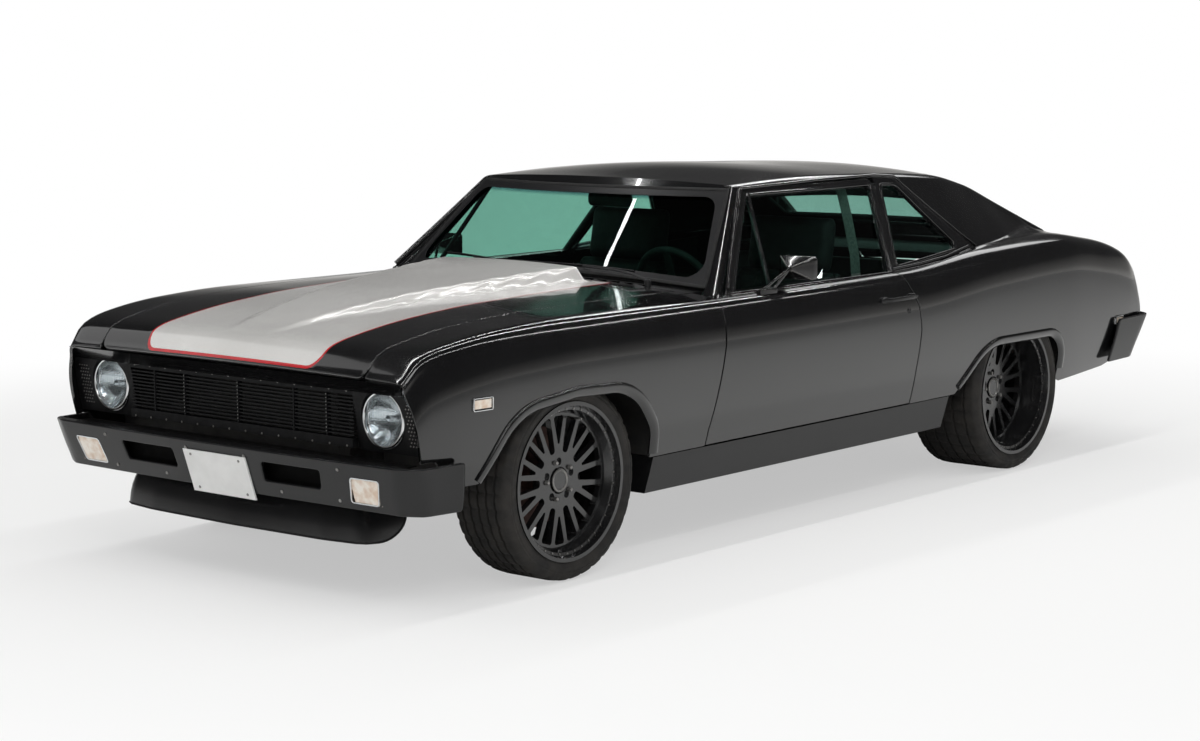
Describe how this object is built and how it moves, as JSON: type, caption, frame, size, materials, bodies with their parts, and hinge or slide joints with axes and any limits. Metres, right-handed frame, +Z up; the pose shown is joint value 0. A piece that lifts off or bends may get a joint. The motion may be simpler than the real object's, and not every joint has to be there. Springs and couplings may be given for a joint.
{
  "type": "two-door muscle car",
  "caption": "Black fastback-roofed two-door muscle car with a raised striped hood, wide low-profile tyres, opening doors, hood and trunk, and steered front wheels.",
  "frame": {"origin": "on the ground under the middle of the car", "axes": "+Z up, the car faces -Y, +X is its left side"},
  "size_m": [1.924, 4.816, 1.299],
  "materials": {
    "body_black": "gloss black paint",
    "hood_paint": "gloss black paint with a wide silver stripe edged in red",
    "satin_black": "satin black paint",
    "black_plastic": "black moulded plastic",
    "chassis_black": "satin black chassis paint",
    "wheel_black": "satin black with a polished black lip",
    "tyre_rubber": "dull black rubber",
    "disc_iron": "machined iron",
    "bare_iron": "cast",
    "steel": "aluminised",
    "window_glass": "green tinted",
    "lamp_clear": "clear",
    "lamp_red": "red lens",
    "seat_vinyl": "black",
    "trim_vinyl": "grained black",
    "blank_white": "white, blank"
  },
  "bodies": {
    "body": {"cabin_trim": "trim_vinyl", "chin_spoiler": "black_plastic", "cowl_panel": "body_black", "dashboard": "trim_vinyl", "driveshaft": "steel", "engine": "bare_iron", "exhaust": "steel", "fender_left": "body_black", "fender_right": "body_black", "floor_pan": "chassis_black", "front_bumper": "satin_black", "front_subframe": "chassis_black", "fuel_tank": "steel", "grille": "black_plastic", "headlamps": "lamp_clear", "marker_lamps": "lamp_clear", "nose_panel": "body_black", "plate": "blank_white", "quarter_glass": "window_glass", "quarter_left": "body_black", "quarter_right": "body_black", "radiator": "chassis_black", "rear_axle": "chassis_black", "rear_bumper": "satin_black", "rear_deck_panel": "body_black", "rear_window": "window_glass", "rocker_panels": "body_black", "roof_panel": "body_black", "seats": "seat_vinyl", "steering_column": "trim_vinyl", "tail_lamps": "lamp_red", "tail_panel": "body_black", "wheelhouses": "chassis_black", "windshield": "window_glass"},
    "door_left": {"door_left": "body_black", "door_glass_left": "window_glass", "door_hardware_left": "satin_black"},
    "door_right": {"door_right": "body_black", "door_glass_right": "window_glass", "door_hardware_right": "satin_black"},
    "hood": {"hood": "hood_paint"},
    "trunk_lid": {"trunk_lid": "body_black"},
    "steering_wheel": {"steering_wheel": "trim_vinyl"},
    "knuckle_left": {"knuckle_left": "bare_iron"},
    "knuckle_right": {"knuckle_right": "bare_iron"},
    "front_wheel_left": {"tyre_front_left": "tyre_rubber", "rim_front_left": "wheel_black", "brake_disc_front_left": "disc_iron"},
    "front_wheel_right": {"tyre_front_right": "tyre_rubber", "rim_front_right": "wheel_black", "brake_disc_front_right": "disc_iron"},
    "rear_wheel_left": {"tyre_rear_left": "tyre_rubber", "rim_rear_left": "wheel_black", "brake_disc_rear_left": "disc_iron"},
    "rear_wheel_right": {"tyre_rear_right": "tyre_rubber", "rim_rear_right": "wheel_black", "brake_disc_rear_right": "disc_iron"}
  },
  "joints": [
    {"name": "steer_left", "type": "hinge", "parent": "body", "child": "knuckle_left", "pos_m": [0.65, -1.6, 0.335], "axis": [0, 0, 1], "range_deg": [-28, 28]},
    {"name": "steer_right", "type": "hinge", "parent": "body", "child": "knuckle_right", "pos_m": [-0.65, -1.6, 0.335], "axis": [0, 0, 1], "range_deg": [-28, 28]},
    {"name": "steering_wheel_turn", "type": "hinge", "parent": "body", "child": "steering_wheel", "pos_m": [0.37, -0.43, 0.83], "axis": [0, 0.9272, 0.3746], "range_deg": [-448, 448]},
    {"name": "front_wheel_left_spin", "type": "hinge", "parent": "knuckle_left", "child": "front_wheel_left", "pos_m": [0.7, -1.6, 0.335], "axis": [1, 0, 0], "continuous": true},
    {"name": "front_wheel_right_spin", "type": "hinge", "parent": "knuckle_right", "child": "front_wheel_right", "pos_m": [-0.7, -1.6, 0.335], "axis": [1, 0, 0], "continuous": true},
    {"name": "rear_wheel_left_spin", "type": "hinge", "parent": "body", "child": "rear_wheel_left", "pos_m": [0.7, 1.219, 0.335], "axis": [1, 0, 0], "continuous": true},
    {"name": "rear_wheel_right_spin", "type": "hinge", "parent": "body", "child": "rear_wheel_right", "pos_m": [-0.7, 1.219, 0.335], "axis": [1, 0, 0], "continuous": true},
    {"name": "door_left_swing", "type": "hinge", "parent": "body", "child": "door_left", "pos_m": [0.898, -0.755, 0.6], "axis": [0, 0, -1], "range_deg": [0, 65]},
    {"name": "door_right_swing", "type": "hinge", "parent": "body", "child": "door_right", "pos_m": [-0.898, -0.755, 0.6], "axis": [0, 0, 1], "range_deg": [0, 65]},
    {"name": "hood_lift", "type": "hinge", "parent": "body", "child": "hood", "pos_m": [0, -0.77, 0.868], "axis": [-1, 0, 0], "range_deg": [0, 50]},
    {"name": "trunk_lift", "type": "hinge", "parent": "body", "child": "trunk_lid", "pos_m": [0, 1.685, 0.928], "axis": [1, 0, 0], "range_deg": [0, 60]}
  ],
  "couplings": [
    {"joint": "steer_right", "follows": "steer_left", "ratio": 1},
    {"joint": "steering_wheel_turn", "follows": "steer_left", "ratio": 16}
  ]
}
